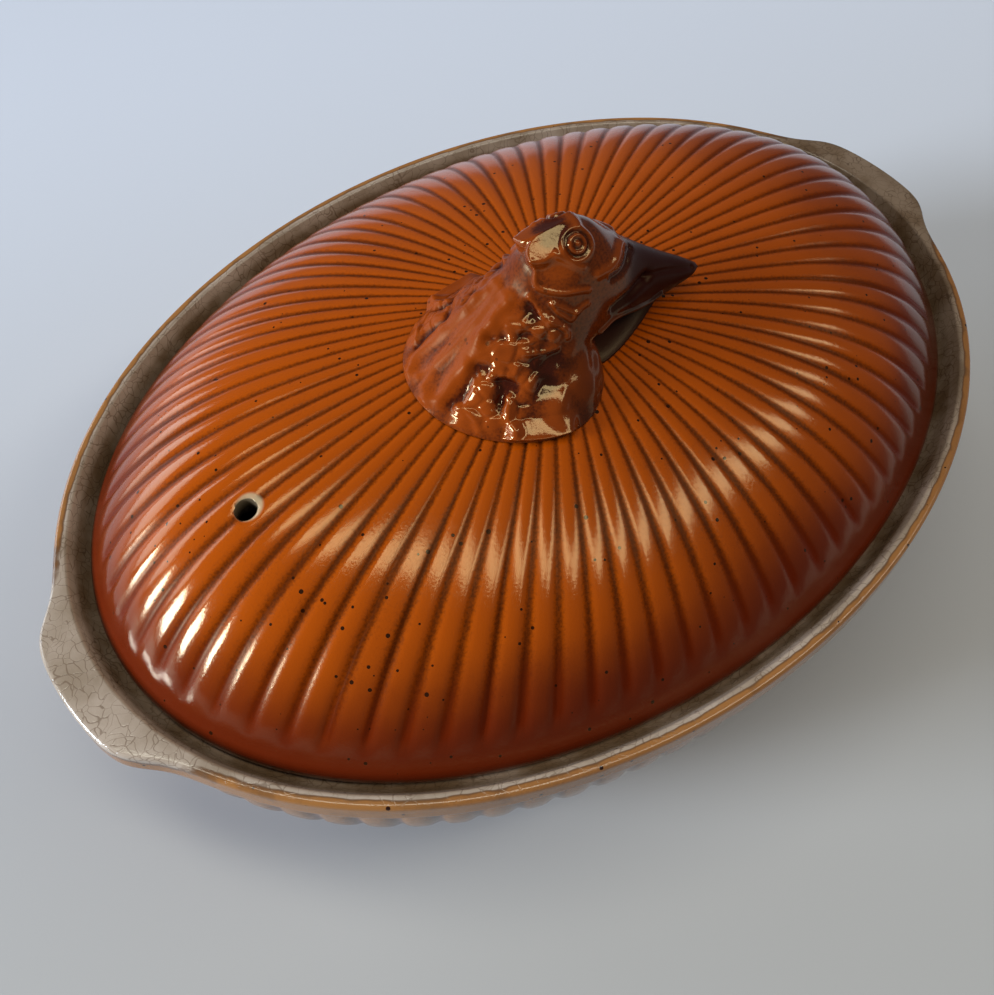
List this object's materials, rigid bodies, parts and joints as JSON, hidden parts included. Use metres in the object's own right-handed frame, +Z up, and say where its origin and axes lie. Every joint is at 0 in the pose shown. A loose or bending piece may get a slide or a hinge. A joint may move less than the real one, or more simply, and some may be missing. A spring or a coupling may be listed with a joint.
{
  "type": "lidded terrine dish",
  "caption": "Oval stoneware terrine dish with reeded walls, lug handles and a stepped rim, and a reeded domed lid with a steam hole and a game-bird head as its knob.",
  "frame": {"origin": "on the table, under the middle of the dish", "axes": "+X along the dish's long axis, the way the bird looks; +Z up"},
  "size_m": [0.2938, 0.203, 0.1374],
  "materials": {
    "cream_glaze": "glossy crackled grey-cream glaze",
    "amber_glaze": "glossy amber-brown glaze with iron specks",
    "brown_glaze": "glossy dark red-brown glaze",
    "bare_stoneware": "unglazed, matt"
  },
  "bodies": {
    "dish": {"dish": "cream_glaze"},
    "lid": {"lid": "amber_glaze", "bird_head_knob": "brown_glaze"}
  },
  "joints": [
    {"name": "lid_lift", "type": "slide", "parent": "dish", "child": "lid", "axis": [0, 0, 1], "range_m": [0, 0.12]}
  ]
}
